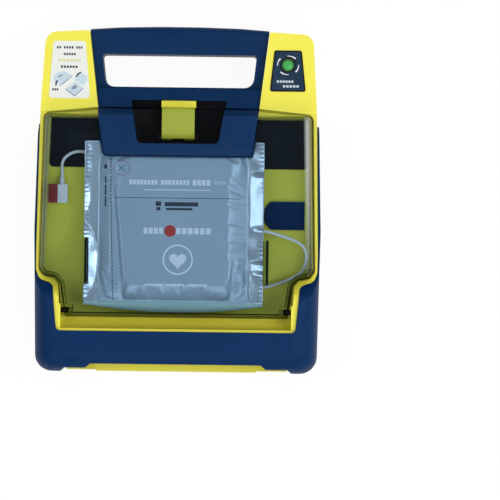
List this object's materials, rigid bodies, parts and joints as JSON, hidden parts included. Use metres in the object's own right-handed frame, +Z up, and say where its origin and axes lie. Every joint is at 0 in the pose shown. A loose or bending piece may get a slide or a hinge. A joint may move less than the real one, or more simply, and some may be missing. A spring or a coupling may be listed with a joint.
{
  "type": "automated external defibrillator",
  "caption": "Portable automated defibrillator with a tinted hinged lid, carrying handle, latch, control panel, battery pack and a foil pouch of electrode pads in the lid.",
  "frame": {"origin": "centre of the footprint, on the surface it lies on", "axes": "+Z up out of the front face, +Y towards the handle, +X to the right of the front view"},
  "size_m": [0.265, 0.32, 0.08],
  "materials": {
    "yellow_abs": "satin moulded",
    "navy_rubber": "fine textured",
    "navy_plastic": "fine textured",
    "smoky_lens": "polished tinted",
    "panel_film": "satin printed film",
    "display_glass": "gloss",
    "pale_orange": "satin moulded",
    "red_plastic": "satin moulded",
    "white_plastic": "satin moulded",
    "olive_plastic": "satin moulded",
    "bright_yellow": "gloss moulded",
    "dark_rubber": "matt",
    "dark_plastic": "matt moulded",
    "steel": "zinc plated",
    "black_steel": "black oxide",
    "circuit_board": "solder mask",
    "blue_can": "sleeved can",
    "copper_winding": "varnished wire",
    "gold_contact": "gold flashed",
    "cell_wrap": "shrink wrap",
    "status_green": "moulded",
    "clear_window": "polished",
    "label_film": "printed film",
    "pouch_foil": "crinkled foil laminate",
    "pouch_white": "printed foil laminate",
    "pad_gel": "gel and foam",
    "cable_jacket": "smooth jacket"
  },
  "bodies": {
    "base": {"rear_case": "yellow_abs", "front_case": "yellow_abs", "bumper": "navy_rubber", "handle": "navy_plastic", "handle_screws": "steel", "case_gasket": "dark_rubber", "case_screws": "steel", "rear_feet": "dark_rubber", "control_panel": "panel_film", "display_window": "display_glass", "button_bezel": "pale_orange", "panel_lamps": "white_plastic", "shock_switch": "dark_plastic", "speaker": "dark_plastic", "main_board": "circuit_board", "board_screws": "steel", "hv_capacitor": "blue_can", "capacitor_strap": "dark_plastic", "hv_choke": "copper_winding", "transfer_relay": "white_plastic", "battery_bay": "dark_plastic", "battery_connector": "dark_plastic", "pad_socket": "red_plastic", "data_port": "dark_plastic", "status_plate": "panel_film", "status_window": "clear_window", "status_coil": "dark_plastic", "instruction_label": "label_film", "latch_catch": "bright_yellow", "reed_switch": "dark_plastic", "hinge_pins": "black_steel", "pad_plug": "white_plastic", "plug_boot": "white_plastic", "pad_cable": "cable_jacket"},
    "lid": {"lid_lens": "smoky_lens", "latch_housing": "navy_plastic", "latch_pin": "black_steel", "latch_spring": "steel", "housing_screws": "steel", "lid_magnet": "steel", "pouch_clips": "smoky_lens", "pouch_front": "pouch_foil", "pouch_back": "pouch_white", "electrode_pads": "pad_gel"},
    "latch_lever": {"latch_lever": "olive_plastic"},
    "shock_button": {"shock_button": "red_plastic"},
    "battery": {"battery_case": "yellow_abs", "battery_cells": "cell_wrap", "battery_contacts": "gold_contact"},
    "battery_latch": {"battery_latch": "dark_plastic"},
    "port_cover": {"port_cover": "navy_rubber"},
    "status_rotor": {"status_rotor": "status_green"}
  },
  "joints": [
    {"name": "lid_hinge", "type": "hinge", "parent": "base", "child": "lid", "pos_m": [0, -0.103, 0.066], "axis": [1, 0, 0], "range_deg": [0, 100], "deforming": ["pad_cable"]},
    {"name": "latch_lever_turn", "type": "hinge", "parent": "lid", "child": "latch_lever", "pos_m": [0, 0.057, 0.063], "axis": [1, 0, 0], "range_deg": [0, 12], "stiffness_Nm_per_rad": 0.15, "springref_deg": -14.32},
    {"name": "shock_button_press", "type": "slide", "parent": "base", "child": "shock_button", "axis": [0, 0, -1], "range_m": [0, 0.002], "stiffness_N_per_m": 600, "springref_m": -0.001},
    {"name": "battery_slide", "type": "slide", "parent": "base", "child": "battery", "axis": [0, -1, 0], "range_m": [0, 0.07]},
    {"name": "battery_latch_press", "type": "slide", "parent": "battery", "child": "battery_latch", "axis": [0, 1, 0], "range_m": [0, 0.003], "stiffness_N_per_m": 400, "springref_m": -0.001},
    {"name": "port_cover_lift", "type": "hinge", "parent": "base", "child": "port_cover", "pos_m": [0.116, -0.014, 0.0475], "axis": [0, 1, 0], "range_deg": [0, 40], "stiffness_Nm_per_rad": 0.01, "springref_deg": -11.46},
    {"name": "status_turn", "type": "hinge", "parent": "base", "child": "status_rotor", "pos_m": [0.1002, 0.1254, 0.0499], "axis": [0, 0.1414, 0.9899], "range_deg": [0, 180]}
  ]
}
